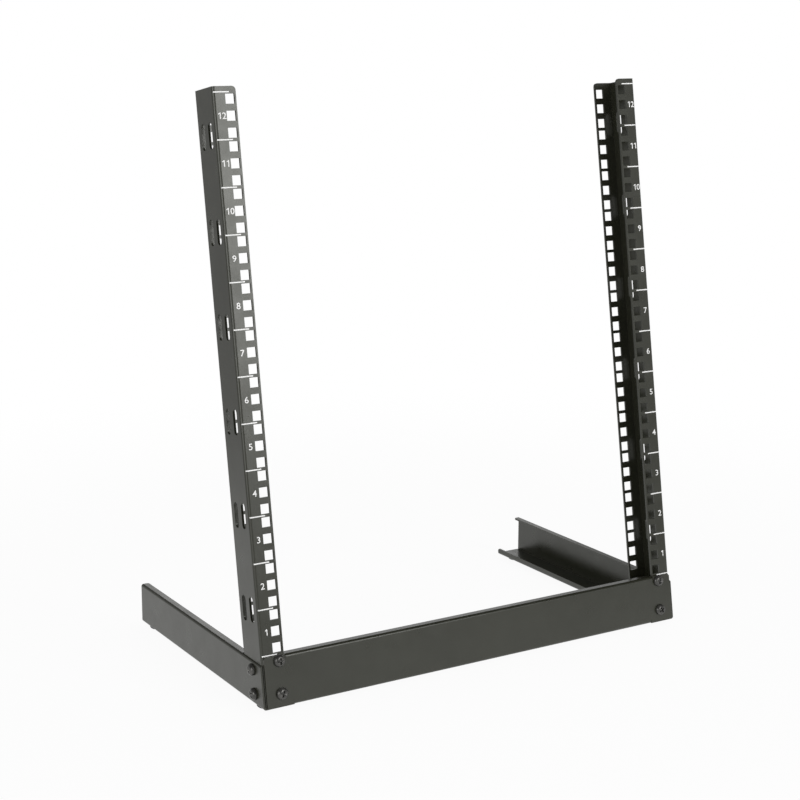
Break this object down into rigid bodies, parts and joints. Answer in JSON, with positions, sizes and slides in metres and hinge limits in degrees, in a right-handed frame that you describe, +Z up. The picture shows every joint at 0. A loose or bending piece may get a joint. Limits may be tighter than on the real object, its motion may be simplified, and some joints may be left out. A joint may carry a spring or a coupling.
{
  "type": "two post open frame rack",
  "caption": "Black desktop open frame rack: two leaning perforated uprights on base legs joined by a front crossbar.",
  "frame": {"origin": "on the floor, under the middle of the overall box", "axes": "+X to the right seen from the front, +Y backward along the legs, +Z up"},
  "size_m": [0.5124, 0.2956, 0.5881],
  "materials": {
    "powder_coat": "satin",
    "black_zinc": "satin",
    "rubber": "matte"
  },
  "bodies": {
    "root": {"left_post": "powder_coat", "left_leg": "powder_coat", "right_post": "powder_coat", "right_leg": "powder_coat", "crossbar": "powder_coat", "front_screw_left_upper": "black_zinc", "side_screw_left_upper": "black_zinc", "front_nut_left_upper": "black_zinc", "side_nut_left_upper": "black_zinc", "front_screw_left_lower": "black_zinc", "side_screw_left_lower": "black_zinc", "front_nut_left_lower": "black_zinc", "side_nut_left_lower": "black_zinc", "foot_left_front": "rubber", "foot_left_rear": "rubber", "front_screw_right_upper": "black_zinc", "side_screw_right_upper": "black_zinc", "front_nut_right_upper": "black_zinc", "side_nut_right_upper": "black_zinc", "front_screw_right_lower": "black_zinc", "side_screw_right_lower": "black_zinc", "front_nut_right_lower": "black_zinc", "side_nut_right_lower": "black_zinc", "foot_right_front": "rubber", "foot_right_rear": "rubber"}
  },
  "joints": []
}
